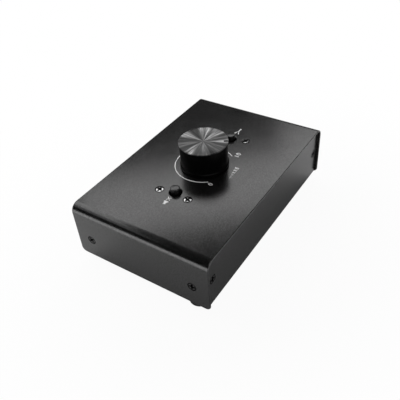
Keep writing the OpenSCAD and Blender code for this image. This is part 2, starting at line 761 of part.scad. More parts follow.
module switch_pins() color("#d8d8d2") for (s = sides) at_switch_pins(s)
    translate([0, 0, board_z - switch_pin_l]) cylinder(h = board_t + switch_pin_l, d = switch_pin_d);
module switch_standoffs() color("#c2a65a") at_top_screws() translate([0, 0, board_top_z - top_z])
    difference() {
        hex_bar(nut_af, standoff_h, tap_r);
        translate([0, 0, standoff_h + sheet_t]) sink_cut(tap_r, short_screw_l);
    }
module switch_screws() color("#c9cacc") at_top_screws() sunk_screw(short_screw_l, head_dome);
module board_screws() color("#b4b6ba") at_top_screws() translate([0, 0, board_z - top_z])
    mirror([0, 0, 1]) pan_screw(short_screw_l);

// Connectors

// One connector's own frame: origin on the panel's outer face, Z pointing out of the rear
module at_connector(x) translate([x, panel_y, connector_z]) facing_y(1) children();
module at_connectors() for (s = sides, x = [inner_x, outer_x]) at_connector(s * x) children();
module at_connector_screws() for (s = sides)
    translate([s * connector_screw_x / 2, s * connector_screw_z / 2, 0]) children();
module at_contacts() for (a = pin_angles)
    translate([pin_circle_r * cos(a), -pin_circle_r * sin(a), 0]) children();

// Flange and barrel of a connector, bored right through
module connector_shell(depth) difference() {
    union() {
        linear_extrude(plate_t) {
            square([plate_w - 2 * plate_r, plate_h], center = true);
            square([plate_w, plate_h - 2 * plate_r], center = true);
            for (sx = sides, sy = sides)
                translate([sx * (plate_w / 2 - plate_r), sy * (plate_h / 2 - plate_r)]) circle(plate_r);
        }
        translate([0, 0, -depth]) cylinder(h = depth + plate_t / 2, d = barrel_d);
    }
    translate([0, 0, -depth - over]) cylinder(h = depth + plate_t + 2 * over, d = shell_bore_d);
    at_connector_screws() translate([0, 0, plate_t]) sink_cut(clear_r, plate_t + over);
}

module output_shell(x) color("#3a3b3e") at_connector(x) difference() {
    connector_shell(output_depth);
    translate([-keyway_w / 2, -shell_bore_d / 2 - keyway_depth, insert_front_y - panel_y])
        cube([keyway_w, shell_bore_d / 2, socket_depth + over]);
}

module output_insert(x) color("#151516") at_connector(x) difference() {
    translate([0, 0, insert_back_y - panel_y]) cylinder(h = insert_t, r = insert_r);
    at_contacts() translate([0, 0, insert_back_y - panel_y - over])
        cylinder(h = insert_t + 2 * over, r = pin_d / 2 + press_play);
}

module output_pins(x) color("#d3c79a") at_connector(x) at_contacts()
    translate([0, 0, insert_back_y - panel_y - pin_tail_l]) rotate_extrude() {
        l = pin_tail_l + insert_t + pin_l;
        square([pin_d / 2, l - pin_d / 2]);
        translate([0, l - pin_d / 2]) intersection() {
            circle(pin_d / 2);
            square(pin_d / 2);
        }
    }

module input_shell(x) color("#3a3b3e") at_connector(x) connector_shell(input_depth);

// Core of an input: jack bore with a flared mouth in the middle, three contact holes round it
module input_core(x) color("#151516") at_connector(x) difference() {
    union() {
        translate([0, 0, core_back_y - panel_y]) cylinder(h = core_face_y - core_back_y, d = core_d);
        translate([0, 0, collar_back_y - panel_y]) cylinder(h = core_collar_t, r = insert_r);
    }
    translate([0, 0, core_face_y - panel_y - jack_depth]) cylinder(h = jack_depth, d = jack_d);
    translate([0, 0, core_face_y - panel_y - jack_mouth_l])
        cylinder(h = jack_mouth_l, d1 = jack_d, d2 = jack_mouth_d);
    at_contacts() translate([0, 0, core_face_y - panel_y - contact_depth - contact_l])
        cylinder(h = contact_depth + contact_l + over, d = contact_hole_d);
    at_contacts() translate([0, 0, core_back_y - panel_y - over])
        cylinder(h = jack_depth, r = contact_tail_d / 2 + press_play);
}

// Contacts at the bottom of an input's three holes, with solder ends behind the core
module input_contacts(x) color("#d3c79a") at_connector(x) at_contacts() {
    z1 = core_face_y - panel_y - contact_depth;
    z0 = core_back_y - panel_y - contact_tail_l;
    translate([0, 0, z1 - contact_l]) cylinder(h = contact_l, r = contact_hole_d / 2 - press_play);
    translate([0, 0, z0]) cylinder(h = z1 - z0, d = contact_tail_d);
}

module input_left_shell() input_shell(inner_x);
module input_left_core() input_core(inner_x);
module input_left_contacts() input_contacts(inner_x);
module input_right_shell() input_shell(outer_x);
module input_right_core() input_core(outer_x);
module input_right_contacts() input_contacts(outer_x);
module output_left_shell() output_shell(-outer_x);
module output_left_insert() output_insert(-outer_x);
module output_left_pins() output_pins(-outer_x);
module output_right_shell() output_shell(-inner_x);
module output_right_insert() output_insert(-inner_x);
module output_right_pins() output_pins(-inner_x);

module connector_screws() color("#1a1a1b") at_connectors() at_connector_screws()
    translate([0, 0, plate_t]) sunk_screw(connector_screw_l);
module connector_nuts() color("#b4b6ba") at_connectors() at_connector_screws()
    translate([0, 0, -sheet_t - nut_h]) hex_bar(nut_af, nut_h, tap_r);

// Leads inside the case

// Lowest height of the leads, and the pads for them under the boards beside the switch pins
lead_z = board_z - lead_drop;
lead_x = [button_x - 2 * switch_pin_pitch + lead_d / 2, button_x + 2 * switch_pin_pitch];
pad_y = switch_pin_pitch + lead_d + 2 * lead_straight;

// Lead between two ends, each given with the way it leaves, by way of a low point between them
module lead(from, from_way, to, to_way, normal) {
    a = from + from_way * lead_straight;
    b = to + to_way * lead_straight;
    low = [(from[0] + to[0]) / 2, (from[1] + to[1]) / 2, lead_z];
    bend = curve([a, a + (from_way + [0, 0, -1]) / 2 * lead_straight, low, b + to_way * lead_straight, b],
        lead_steps);
    tube(concat([from], bend, [to]), lead_d, normal, lead_sides);
}

// From the back of a connector to the underside of the board on its side
module connector_lead(x, back_y, pad)
    lead([x, back_y, connector_z], [0, -1, 0], [pad[0], pad[1], board_z], [0, 0, -1], [1, 0, 0]);

// From the underside of a board to one of the potentiometer's rear tags
module link_lead(s)
    lead([s * lead_x[0], -pad_y, board_z], [0, 0, -1],
        [s * tag_pitch, lead_d / 2 - tag_end_y, rear_track_z - tag_t], [0, 0, -1], [0, 1, 0]);

module input_leads() color("#4a4d52") {
    connector_lead(inner_x, core_back_y, [lead_x[0], pad_y]);
    connector_lead(outer_x, core_back_y, [lead_x[1], 0]);
}
module link_leads() color("#4a4d52") for (s = sides) link_lead(s);
module output_leads() color("#4a4d52") {
    connector_lead(-inner_x, insert_back_y, [-lead_x[0], pad_y]);
    connector_lead(-outer_x, insert_back_y, [-lead_x[1], 0]);
}

top_cover();
base_tray();
front_left_bracket();
front_right_bracket();
rear_left_bracket();
rear_right_bracket();
end_screws();
panel_screws();
front_left_foot();
front_right_foot();
rear_left_foot();
rear_right_foot();
foot_screws();
foot_nuts();
knob_body();
knob_cap();
knob_grub_screw();
pot_shaft();
pot_bush();
pot_washer();
pot_nut();
pot_front_track();
pot_front_can();
pot_front_wiper();
pot_rear_track();
pot_rear_can();
pot_rear_wiper();
pot_tags();
mute_button();
mute_plunger();
mute_spring();
mute_switch_case();
mute_board();
mono_button();
mono_plunger();
mono_spring();
mono_switch_case();
mono_board();
switch_pins();
switch_standoffs();
switch_screws();
board_screws();
input_left_shell();
input_left_core();
input_left_contacts();
input_right_shell();
input_right_core();
input_right_contacts();
output_left_shell();
output_left_insert();
output_left_pins();
output_right_shell();
output_right_insert();
output_right_pins();
connector_screws();
connector_nuts();
input_leads();
link_leads();
output_leads();
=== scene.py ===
import json
import math

import bmesh
import bpy
from mathutils import Matrix, Vector


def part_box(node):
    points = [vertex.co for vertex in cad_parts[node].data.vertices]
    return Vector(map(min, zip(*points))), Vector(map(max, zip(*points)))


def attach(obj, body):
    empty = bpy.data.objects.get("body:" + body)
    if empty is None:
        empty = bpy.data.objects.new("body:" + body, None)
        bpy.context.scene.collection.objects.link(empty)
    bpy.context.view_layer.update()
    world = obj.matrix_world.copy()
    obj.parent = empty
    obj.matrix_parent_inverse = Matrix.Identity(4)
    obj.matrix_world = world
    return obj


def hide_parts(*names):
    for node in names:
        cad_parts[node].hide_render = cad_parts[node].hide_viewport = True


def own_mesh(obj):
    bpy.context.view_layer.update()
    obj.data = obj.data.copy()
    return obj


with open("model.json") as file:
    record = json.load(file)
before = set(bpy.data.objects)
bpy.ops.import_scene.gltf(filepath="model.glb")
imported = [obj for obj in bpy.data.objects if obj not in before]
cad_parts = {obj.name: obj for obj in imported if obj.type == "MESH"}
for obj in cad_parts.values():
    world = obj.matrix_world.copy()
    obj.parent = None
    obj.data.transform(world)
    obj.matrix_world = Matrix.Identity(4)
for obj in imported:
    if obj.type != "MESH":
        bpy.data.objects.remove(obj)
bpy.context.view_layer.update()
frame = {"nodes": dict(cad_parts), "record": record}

MM = 0.001
nodes = frame["nodes"]
scene = bpy.context.scene


def box_mm(node):
    """Lowest and highest corner of a CAD node, in millimetres."""
    return [[round(value / MM, 3) for value in corner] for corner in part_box(node)]


def middle_mm(node):
    """Middle of a CAD node's box, in millimetres."""
    low, high = box_mm(node)
    return [(a + b) / 2 for a, b in zip(low, high)]


# Camera, fitted to the straight edges of the case in the photograph

CAMERA_PLACE = Vector((-223.07, -156.05, 242.95)) * MM
CAMERA_RIGHT = Vector((0.5441, -0.8368, -0.0617))
CAMERA_AHEAD = Vector((0.61762, 0.44924, -0.64555))
CAMERA_LENS = 46.27
SENSOR_WIDTH = 36
CLIP_START = 0.01


def add_camera():
    """Camera that sees the part as the photograph does."""
    data = bpy.data.cameras.new("camera")
    data.lens = CAMERA_LENS
    data.sensor_width = SENSOR_WIDTH
    data.clip_start = CLIP_START
    camera = bpy.data.objects.new("camera", data)
    scene.collection.objects.link(camera)
    back = -CAMERA_AHEAD.normalized()
    right = (CAMERA_RIGHT - CAMERA_RIGHT.dot(back) * back).normalized()
    up = back.cross(right)
    turn = Matrix((right, up, back)).transposed()
    camera.matrix_world = Matrix.Translation(CAMERA_PLACE) @ turn.to_4x4()
    scene.camera = camera


add_camera()
scene.view_settings.view_transform = "Standard"


# Small helpers for node trees

def rgba(colour):
    """Colour with its alpha, from a grey level or from red, green and blue."""
    if isinstance(colour, (int, float)):
        return (colour, colour, colour, 1)
    return (*colour, 1)


class Tree:
    """A material's or world's node tree, with short calls to add and join nodes."""

    def __init__(self, owner):
        """Empties the owner's tree."""
        owner.use_nodes = True
        self.tree = owner.node_tree
        self.tree.nodes.clear()

    def add(self, kind, links=None, **settings):
        """Node with its properties or input values set, and its inputs linked to other nodes' outputs."""
        node = self.tree.nodes.new(kind)
        for name, value in settings.items():
            if hasattr(node, name):
                setattr(node, name, value)
            else:
                node.inputs[name.replace("_", " ")].default_value = value
        for name, source in (links or {}).items():
            self.tree.links.new(source, node.inputs[name])
        return node

    def join(self, node, **sources):
        """Links outputs to a node's inputs, which are named with _ for each space."""
        for name, source in sources.items():
            self.tree.links.new(source, node.inputs[name.replace("_", " ")])

    def math(self, operation, a, b):
        """Result of an operation on two values, each a number or a node's output."""
        node = self.add("ShaderNodeMath", operation=operation)
        for socket, value in zip(node.inputs, (a, b)):
            if isinstance(value, (int, float)):
                socket.default_value = value
            else:
                self.tree.links.new(value, socket)
        return node.outputs[0]

    def spread(self, value, low, high, start, end):
        """Maps value from start..end to low..high."""
        node = self.add("ShaderNodeMapRange", {"Value": value})
        for name, number in zip(("From Min", "From Max", "To Min", "To Max"), (start, end, low, high)):
            node.inputs[name].default_value = number
        return node.outputs[0]

    def ramp(self, value, *stops):
        """Colours at places along value, given as (place, grey or colour)."""
        node = self.add("ShaderNodeValToRGB", {"Fac": value})
        ramp = node.color_ramp
        while len(ramp.elements) < len(stops):
            ramp.elements.new(0.5)
        for element, (place, colour) in zip(ramp.elements, stops):
            element.position = place
            element.color = rgba(colour)
        return node.outputs["Color"]

    def noise(self, vector, size, detail=2.0, roughness=0.5):
        """Noise whose grains are about size wide, in the vector's units."""
        node = self.add("ShaderNodeTexNoise", {"Vector": vector}, Scale=1 / size, Detail=detail,
                        Roughness=roughness)
        return node.outputs["Fac"]

    def bump(self, height, depth):
        """Normal of a surface whose height varies by depth millimetres."""
        return self.add("ShaderNodeBump", {"Height": height}, Strength=1.0, Distance=depth * MM).outputs[0]


# World, floor and lamps

# Level of the walls' dim upper part, and the height on the unit sphere at which it is reached
SKY_LEVEL = 0.02
WALL_TOP = 0.06
# Level of the right side, and the stretch along X over which the walls pass into it
RIGHT_LEVEL = 0.08
RIGHT_RANGE = (-0.2, 0.3)


def make_world():
    """Studio that the camera sees as white, also through clear things.

    What lights the object and is mirrored in it are walls that are white up to the horizon and dim from a
    little above it, and a right side that is dim throughout.
    """
    world = bpy.data.worlds.new("studio")
    scene.world = world
    t = Tree(world)
    way = t.add("ShaderNodeTexCoord").outputs["Generated"]
    axes = t.add("ShaderNodeSeparateXYZ", {"Vector": way}).outputs
    wall = t.spread(axes["Z"], 1.0, SKY_LEVEL, 0.0, WALL_TOP)
    right = t.spread(axes["X"], 0.0, 1.0, *RIGHT_RANGE)
    studio = t.math("ADD", t.math("MULTIPLY", wall, t.math("SUBTRACT", 1.0, right)),
                    t.math("MULTIPLY", right, RIGHT_LEVEL))
    path = t.add("ShaderNodeLightPath").outputs
    seen = t.math("MAXIMUM", path["Is Camera Ray"], path["Is Transmission Ray"])
    level = t.math("MAXIMUM", studio, seen)
    background = t.add("ShaderNodeBackground", {"Strength": level}, Color=rgba(1.0))
    t.add("ShaderNodeOutputWorld", {"Surface": background.outputs[0]})


FLOOR_HALF = 6.0
FLOOR_GREY = 0.80
# Shares of plain white at the object and away from it, and the distances between which they change
FLOOR_WHITE = (0.95, 1.0)
WHITE_AWAY = (0.11, 0.22)
MIRRORED_WHITE = (0.0, 1.0)
MIRRORED_AWAY = (0.15, 0.50)


def make_floor():
    """Pale floor. To the camera and in reflections it turns plain white away from the object, and near it
    the shadow stays."""
    mesh = bpy.data.meshes.new("floor")
    corners = [(-1, -1), (1, -1), (1, 1), (-1, 1)]
    mesh.from_pydata([(FLOOR_HALF * x, FLOOR_HALF * y, 0) for x, y in corners], [], [(0, 1, 2, 3)])
    floor = bpy.data.objects.new("floor", mesh)
    scene.collection.objects.link(floor)
    material = bpy.data.materials.new("floor")
    t = Tree(material)
    matte = t.add("ShaderNodeBsdfDiffuse", Color=rgba(FLOOR_GREY))
    white = t.add("ShaderNodeEmission", Color=rgba(1.0), Strength=1.0)
    path = t.add("ShaderNodeLightPath").outputs
    mirrored = t.math("MAXIMUM", path["Is Glossy Ray"], path["Is Transmission Ray"])
    place = t.add("ShaderNodeTexCoord").outputs["Object"]
    away = t.add("ShaderNodeVectorMath", {0: place}, operation="LENGTH").outputs["Value"]
    seen = t.spread(away, *FLOOR_WHITE, *WHITE_AWAY)
    reflected = t.spread(away, *MIRRORED_WHITE, *MIRRORED_AWAY)
    share = t.math("ADD", t.math("MULTIPLY", path["Is Camera Ray"], seen),
                   t.math("MULTIPLY", mirrored, reflected))
    mix = t.add("ShaderNodeMixShader", {0: share, 1: matte.outputs[0], 2: white.outputs[0]})
    t.add("ShaderNodeOutputMaterial", {"Surface": mix.outputs[0]})
    mesh.materials.append(material)


# Energy of an area lamp for each square metre and unit of radiance
LAMP_ENERGY = 4
# Height of the panels overhead
PANEL_Z = 0.194


def softbox(name, place, size, radiance, turn=0, tilt=0):
    """Area lamp of a width and height in metres.

    It faces down, and is then tilted about its width and turned about the vertical, in degrees.
    """
    width, height = size
    data = bpy.data.lights.new(name, "AREA")
    data.shape = "RECTANGLE"
    data.size = width
    data.size_y = height
    data.energy = LAMP_ENERGY * width * height * radiance
    lamp = bpy.data.objects.new(name, data)
    lamp.matrix_world = (Matrix.Translation(place) @ Matrix.Rotation(math.radians(turn), 4, "Z")
                         @ Matrix.Rotation(math.radians(tilt), 4, "X"))
    lamp.visible_camera = False
    scene.collection.objects.link(lamp)
    return lamp


make_world()
make_floor()
# Panels that the top of the case mirrors
softbox("top_panel", place=(0.155, 0.058, PANEL_Z), size=(0.355, 0.106), radiance=1.36, turn=-47)
softbox("right_panel", place=(0.294, 0.022, PANEL_Z), size=(0.114, 0.076), radiance=1.12, turn=-38.5)
# Panels that the bend along the case's left end mirrors
softbox("bend_panel", place=(-0.050, 0.185, PANEL_Z), size=(0.160, 0.150), radiance=1.3)
softbox("bend_edge", place=(-0.178, 0.185, PANEL_Z), size=(0.096, 0.150), radiance=0.5)
# Low lamps that draw a line along the left bend and the front edge, and light nothing matte
left_line = softbox("left_line", place=(-0.130, 0.028, 0.021), size=(0.17, 0.040), radiance=0.85, turn=-90,
                    tilt=90)
front_line = softbox("front_line", place=(0.043, -0.105, 0.014), size=(0.24, 0.026), radiance=1.4, tilt=90)
for lamp in (left_line, front_line):
    lamp.visible_diffuse = False
# Broad soft light from the front, and from the back without a mirror image
softbox("front_softbox", place=(-0.35, -0.60, 1.00), size=(1.20, 0.90), radiance=0.72, turn=-30, tilt=35)
fill = softbox("fill", place=(0.35, 0.75, 0.70), size=(2.60, 1.10), radiance=1.3, turn=155, tilt=50)
fill.visible_glossy = False


# Materials

# Range that a noise mostly keeps to and its middle, the fine grain's share in a mix, and a blotch's width
NOISE_RANGE = (0.3, 0.7)
NOISE_MIDDLE = 0.5
FINE_SHARE = 0.6
BLOTCH_SIZE = 12


def base_material(name):
    """Material with its tree, the place on the object, and its shader."""
    material = bpy.data.materials.new(name)
    t = Tree(material)
    place = t.add("ShaderNodeTexCoord").outputs["Object"]
    shader = t.add("ShaderNodeBsdfPrincipled")
    t.add("ShaderNodeOutputMaterial", {"Surface": shader.outputs[0]})
    return material, t, place, shader


def grained(name, dark, light, size, rough, bump, metallic=0.0, detail=3.0, ior=1.5, gloss=None):
    """Material whose colour, roughness and surface vary by a fine grain and a broad blotch.

    dark and light are the colours between which it varies, size the grain's width and bump its height in
    millimetres, rough the least and greatest roughness, detail how much finer grain lies in it and gloss,
    where it is given, the least and greatest strength of its mirror image.
    """
    material, t, place, shader = base_material(name)
    fine = t.noise(place, size * MM, detail=detail)
    broad = t.noise(place, BLOTCH_SIZE * MM)
    mixed = t.math("ADD", t.math("MULTIPLY", fine, FINE_SHARE), t.math("MULTIPLY", broad, 1 - FINE_SHARE))
    t.join(shader,
           Base_Color=t.ramp(mixed, *zip(NOISE_RANGE, (dark, light))),
           Roughness=t.spread(mixed, *rough, *NOISE_RANGE),
           Normal=t.bump(fine, bump))
    if gloss:
        t.join(shader, Specular_IOR_Level=t.spread(fine, *gloss, *NOISE_RANGE))
    shader.inputs["Metallic"].default_value = metallic
    shader.inputs["IOR"].default_value = ior
    return material


# Highlight streaks painted into the colour of the turned metal, standing in for the light its rings draw
# out:
# their turn, so that the index notch lies on a bright one, their width on the unit circle, how much finer
# streaks lie in them and how strong those are, how fast they change along the radius, and their grey levels
STREAK_TURN = math.radians(-25)
STREAK_SIZE = 0.30
STREAK_DETAIL = 4.0
STREAK_ROUGHNESS = 0.62
STREAK_DRIFT = 8.0
PAINTED_STREAK_GREYS = ((0.32, 0.03), (0.50, 0.10), (0.60, 0.26), (0.72, 0.80))
# Fine rings of the lathe: their width, height and roughness, and how much they add to the streaks
RING_SIZE = 0.12
RING_BUMP = 0.001
RING_ROUGH = (0.30, 0.40)
RING_SHARE = 0.10
# How far a highlight is drawn out across the rings
ANISOTROPY = 0.8


def turned_metal(name):
    """Metal turned on a lathe: fine rings, and painted highlight streaks that run out from the axis."""
    material, t, place, shader = base_material(name)
    axes = t.add("ShaderNodeSeparateXYZ", {"Vector": place}).outputs
    flat = t.add("ShaderNodeCombineXYZ", {"X": axes["X"], "Y": axes["Y"]}).outputs[0]
    radius = t.add("ShaderNodeVectorMath", {0: flat}, operation="LENGTH").outputs["Value"]
    turned = t.add("ShaderNodeVectorRotate", {"Vector": flat}, rotation_type="Z_AXIS", Angle=STREAK_TURN)
    way = t.add("ShaderNodeVectorMath", {0: turned.outputs[0]}, operation="NORMALIZE").outputs[0]
    parts = t.add("ShaderNodeSeparateXYZ", {"Vector": way}).outputs
    drift = t.math("MULTIPLY", radius, STREAK_DRIFT)
    round_axis = t.add("ShaderNodeCombineXYZ", {"X": parts["X"], "Y": parts["Y"], "Z": drift}).outputs[0]
    # Painted highlight streaks round the axis, for the base colour
    painted_streak = t.noise(round_axis, STREAK_SIZE, detail=STREAK_DETAIL, roughness=STREAK_ROUGHNESS)
    along = t.add("ShaderNodeCombineXYZ", {"X": radius}).outputs[0]
    rings = t.noise(along, RING_SIZE * MM)
    mixed = t.math("ADD", painted_streak, t.math("MULTIPLY", t.math("SUBTRACT", rings, NOISE_MIDDLE), RING_SHARE))
    tangent = t.add("ShaderNodeTangent", direction_type="RADIAL", axis="Z")
    t.join(shader,
           Base_Color=t.ramp(mixed, *PAINTED_STREAK_GREYS),
           Roughness=t.spread(rings, *RING_ROUGH, *NOISE_RANGE),
           Tangent=tangent.outputs[0],
           Normal=t.bump(rings, RING_BUMP))
    shader.inputs["Metallic"].default_value = 1.0
    shader.inputs["Anisotropic"].default_value = ANISOTROPY
    return material


# Settings of each grained material
FINISHES = {
    "case_paint": dict(dark=0.001, light=0.007, size=0.95, rough=(0.19, 0.26), bump=0.0015, detail=1.0,
                       ior=1.75, gloss=(0.39, 0.61)),
    "zinc_steel": dict(dark=0.42, light=0.60, size=0.5, rough=(0.25, 0.42), bump=0.01, metallic=1.0),
    "black_screw": dict(dark=0.006, light=0.016, size=0.3, rough=(0.24, 0.34), bump=0.004, ior=1.75),
    "bright_screw": dict(dark=0.56, light=0.70, size=0.3, rough=(0.12, 0.18), bump=0.001, metallic=1.0),
    # Near-black painted shade for screw recesses and the gaps round sunk heads
    "painted_recess_shade": dict(dark=0.001, light=0.003, size=0.2, rough=(0.60, 0.75), bump=0.004, ior=1.2),
    "foot_rubber": dict(dark=0.010, light=0.022, size=0.4, rough=(0.60, 0.80), bump=0.03),
    "knob_black": dict(dark=0.001, light=0.002, size=0.3, rough=(0.30, 0.38), bump=0.003, ior=1.17),
    "brass": dict(dark=(0.55, 0.40, 0.16), light=(0.72, 0.55, 0.26), size=0.4, rough=(0.25, 0.40),
                  bump=0.008, metallic=1.0),
    "phenolic": dict(dark=(0.12, 0.055, 0.022), light=(0.24, 0.12, 0.05), size=0.5, rough=(0.50, 0.65),
                     bump=0.02),
    "white_plastic": dict(dark=(0.66, 0.63, 0.56), light=(0.80, 0.78, 0.72), size=0.4, rough=(0.40, 0.50),
                          bump=0.008),
    "button_black": dict(dark=0.002, light=0.005, size=0.25, rough=(0.22, 0.30), bump=0.001, ior=1.75),
    "switch_black": dict(dark=0.02, light=0.035, size=0.3, rough=(0.40, 0.50), bump=0.01),
    "board_green": dict(dark=(0.008, 0.07, 0.03), light=(0.015, 0.12, 0.05), size=0.6, rough=(0.25, 0.40),
                        bump=0.008),
    "contact_metal": dict(dark=(0.60, 0.56, 0.45), light=(0.80, 0.77, 0.66), size=0.3, rough=(0.18, 0.32),
                          bump=0.005, metallic=1.0),
    "connector_metal": dict(dark=0.012, light=0.028, size=0.3, rough=(0.32, 0.46), bump=0.01, metallic=0.3),
    "connector_black": dict(dark=0.010, light=0.020, size=0.3, rough=(0.40, 0.55), bump=0.01),
    "print_white": dict(dark=0.82, light=0.90, size=0.25, rough=(0.45, 0.60), bump=0.004),
    "lead_jacket": dict(dark=0.03, light=0.05, size=0.4, rough=(0.45, 0.60), bump=0.01),
}
MATERIALS = {name: grained(name, **finish) for name, finish in FINISHES.items()}
MATERIALS["knob_metal"] = turned_metal("knob_metal")
for part in frame["record"]["subparts"]:
    nodes[part["node"]].material_slots[0].material = MATERIALS[part["material_slot"]]


# Mesh building. Sizes here are in millimetres, and meshes in metres

# Edges sharper than this stay sharp, and points nearer the axis than ON_AXIS lie on it
SHARP = math.radians(32)
ON_AXIS = 1e-6


def rounded(corners, steps=5):
    """Profile through corners (radius, height, rounding), with an arc at each corner that has a rounding."""
    points = []
    for i, (r, z, rounding) in enumerate(corners):
        here = Vector((r, z))
        if rounding == 0:
            points.append(here)
            continue
        before = (Vector(corners[i - 1][:2]) - here).normalized()
        after = (Vector(corners[(i + 1) % len(corners)][:2]) - here).normalized()
        half = before.angle(after) / 2
        centre = here + (before + after).normalized() * rounding / math.sin(half)
        start = here + before * rounding / math.tan(half) - centre
        end = here + after * rounding / math.tan(half) - centre
        first = math.atan2(start.y, start.x)
        sweep = math.remainder(math.atan2(end.y, end.x) - first, 2 * math.pi)
        for k in range(steps + 1):
            a = first + sweep * k / steps
            points.append(centre + rounding * Vector((math.cos(a), math.sin(a))))
    return points


def dome(radius, rise, top, steps=10):
    """Profile of a dome from its rim to the axis, with its crown at the height top."""
    ball = (radius ** 2 + rise ** 2) / (2 * rise)
    radii = [radius * (1 - k / steps) for k in range(steps + 1)]
    return [Vector((r, top - ball + math.sqrt(ball ** 2 - r ** 2))) for r in radii]


def smoothed(mesh):
    """The mesh, shaded smoothly but for its sharp edges."""
    mesh.shade_smooth()
    mesh.set_sharp_from_angle(angle=SHARP)
    return mesh


def finished(bm, name):
    """Smooth mesh from a bmesh."""
    mesh = bpy.data.meshes.new(name)
    bm.to_mesh(mesh)
    bm.free()
    return smoothed(mesh)


def lathe(name, profile, segments, closed=False):
    """Solid turned about Z. The profile runs from the axis, up the outside and back, or is a closed loop."""
    bm = bmesh.new()
    turns = [2 * math.pi * k / segments for k in range(segments)]
    rings = []
    for r, z in profile:
        if r < ON_AXIS:
            rings.append([bm.verts.new((0, 0, z * MM))])
        else:
            rings.append([bm.verts.new((r * MM * math.cos(a), r * MM * math.sin(a), z * MM)) for a in turns])
    for low, high in zip(rings, rings[1:] + (rings[:1] if closed else [])):
        for k in range(segments):
            j = (k + 1) % segments
            corners = [low[k % len(low)], low[j % len(low)], high[j % len(high)], high[k % len(high)]]
            bm.faces.new(list(dict.fromkeys(corners)))
    return finished(bm, name)


def prism(bm, low, high):
    """Adds a closed prism between two outlines of points, both counter-clockwise from above."""
    bottom = [bm.verts.new(Vector(p) * MM) for p in low]
    top = [bm.verts.new(Vector(p) * MM) for p in high]
    bm.faces.new(bottom[::-1])
    bm.faces.new(top)
    for k in range(len(low)):
        j = (k + 1) % len(low)
        bm.faces.new((bottom[k], bottom[j], top[j], top[k]))


def box_mesh(low, high):
    """Box between two corners."""
    (x0, y0, z0), (x1, y1, z1) = low, high
    outline = ((x0, y0), (x1, y0), (x1, y1), (x0, y1))
    bm = bmesh.new()
    prism(bm, [(x, y, z0) for x, y in outline], [(x, y, z1) for x, y in outline])
    return finished(bm, "box")


def evaluated_mesh(obj):
    """New mesh of an object, with its modifiers applied."""
    return bpy.data.meshes.new_from_object(obj.evaluated_get(bpy.context.evaluated_depsgraph_get()))


def cut(mesh, cutter, slot):
    """The mesh, of a slot's material, without the cutter's volume.

    Cut faces take the cutter's material, if it has one.
    """
    mesh.materials.append(MATERIALS[slot])
    solid = bpy.data.objects.new("solid", mesh)
    tool = bpy.data.objects.new("tool", cutter)
    for obj in (solid, tool):
        scene.collection.objects.link(obj)
    modifier = solid.modifiers.new("cut", "BOOLEAN")
    modifier.operation = "DIFFERENCE"
    modifier.solver = "EXACT"
    modifier.material_mode = "TRANSFER"
    modifier.object = tool
    result = evaluated_mesh(solid)
    for obj in (solid, tool):
        data = obj.data
        bpy.data.objects.remove(obj)
        bpy.data.meshes.remove(data)
    return smoothed(result)


def copies(name, mesh, places):
    """One mesh that holds a copy of the given one at each place."""
    bm = bmesh.new()
    for place in places:
        copy = mesh.copy()
        copy.transform(place)
        bm.from_mesh(copy)
        bpy.data.meshes.remove(copy)
    joined = bpy.data.meshes.new(name)
    bm.to_mesh(joined)
    bm.free()
    for material in mesh.materials:
        joined.materials.append(material)
    return joined


def add_piece(name, mesh, slot, body, replaced):
    """Puts a mesh in the scene as a piece that rides on a body and stands for a CAD node."""
    piece = bpy.data.objects.new(name, mesh)
    scene.collection.objects.link(piece)
    if not mesh.materials:
        mesh.materials.append(MATERIALS[slot])
    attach(piece, body)
    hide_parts(replaced)
    return piece


def at(x, y, z, turn=None):
    """Place in millimetres, with an optional turn matrix."""
    place = Matrix.Translation(Vector((x, y, z)) * MM)
    return place @ turn if turn else place


def spin(degrees, axis="Z"):
    """Turn about an axis."""
    return Matrix.Rotation(math.radians(degrees), 4, axis)


# Places on the case

CASE_HALF_W, _, TOP_FACE = box_mm("top_cover")[1]
PANEL_Y = box_mm("base_tray")[1][1]
SHELLS = ("output_left_shell", "output_right_shell", "input_left_shell", "input_right_shell")
PLATE_Y = box_mm(SHELLS[0])[1][1]
SIDES = (-1, 1)
CORNERS = [(sx, sy) for sx in SIDES for sy in SIDES]


# Screws, each with a cross recess in its head

SCREW_R = 1.5
TIP_BEVEL = 0.3
SCREW_SEGMENTS = 72
SHORT_SCREW_L = 6.0
CONNECTOR_SCREW_L = 7.0
CROSS_L = 4.1
CROSS_W = 1.4
CROSS_DEPTH = 1.4
# Size of a recess at its bottom against its mouth, and how far its cutter reaches above the crown
CROSS_TAPER = 0.6
CROSS_OVER = 0.3
# A sunk head sits in a near-black cup, a painted shadow that lines the countersink, with a groove round the
# head
HEAD_SINK = 0.12
RIM_R = 2.25
GROOVE_R = 2.55
GROOVE_DEPTH = 0.45
SHADE_CUP_R = 2.98
SHADE_CUP_WALL = 0.08
SHADE_CUP_DEPTH = 0.02
# Slot of the near-black painted shade on a screw: its cross recess, groove and cup
PAINTED_SHADE_INDEX = 1
BRIGHT_RISE = 0.12
BLACK_RISE = 0.1
PAN_HEAD_R = 2.8
PAN_HEAD_H = 1.8
PAN_RISE = 0.3
PAN_ROUNDING = 0.1


